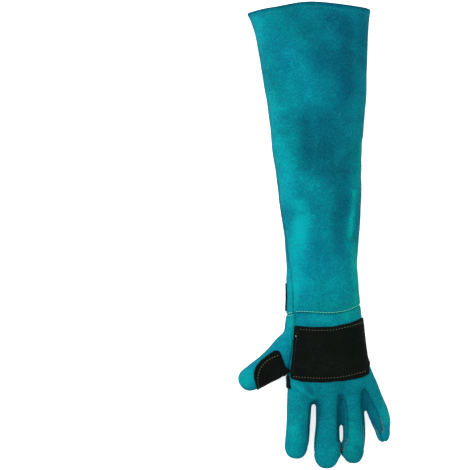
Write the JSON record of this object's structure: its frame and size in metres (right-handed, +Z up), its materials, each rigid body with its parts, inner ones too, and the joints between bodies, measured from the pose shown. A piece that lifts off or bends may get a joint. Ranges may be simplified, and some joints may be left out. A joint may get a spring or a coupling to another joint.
{
  "type": "welding gauntlet",
  "caption": "Long suede leather work gauntlet for the right hand with a wide sleeve, open at the arm end, and patches over palm, thumb and back of the hand.",
  "frame": {"origin": "under the middle of the gauntlet, on the surface it lies on", "axes": "+Y from the fingertips to the arm opening, +Z up through the palm side, -X towards the thumb"},
  "size_m": [0.1948, 0.6008, 0.0671],
  "materials": {
    "teal_suede": "brushed suede nap, matt",
    "black_suede": "brushed suede nap, matt",
    "thread": "heavy sewing thread"
  },
  "bodies": {
    "root": {"sleeve_front": "teal_suede", "sleeve_back": "teal_suede", "hand_palm": "teal_suede", "hand_back": "teal_suede", "thumb": "teal_suede", "side_strip_index_middle": "teal_suede", "side_strip_middle_ring": "teal_suede", "side_strip_ring_pinky": "teal_suede", "palm_patch": "black_suede", "thumb_patch": "black_suede", "back_patch": "black_suede"}
  },
  "joints": []
}
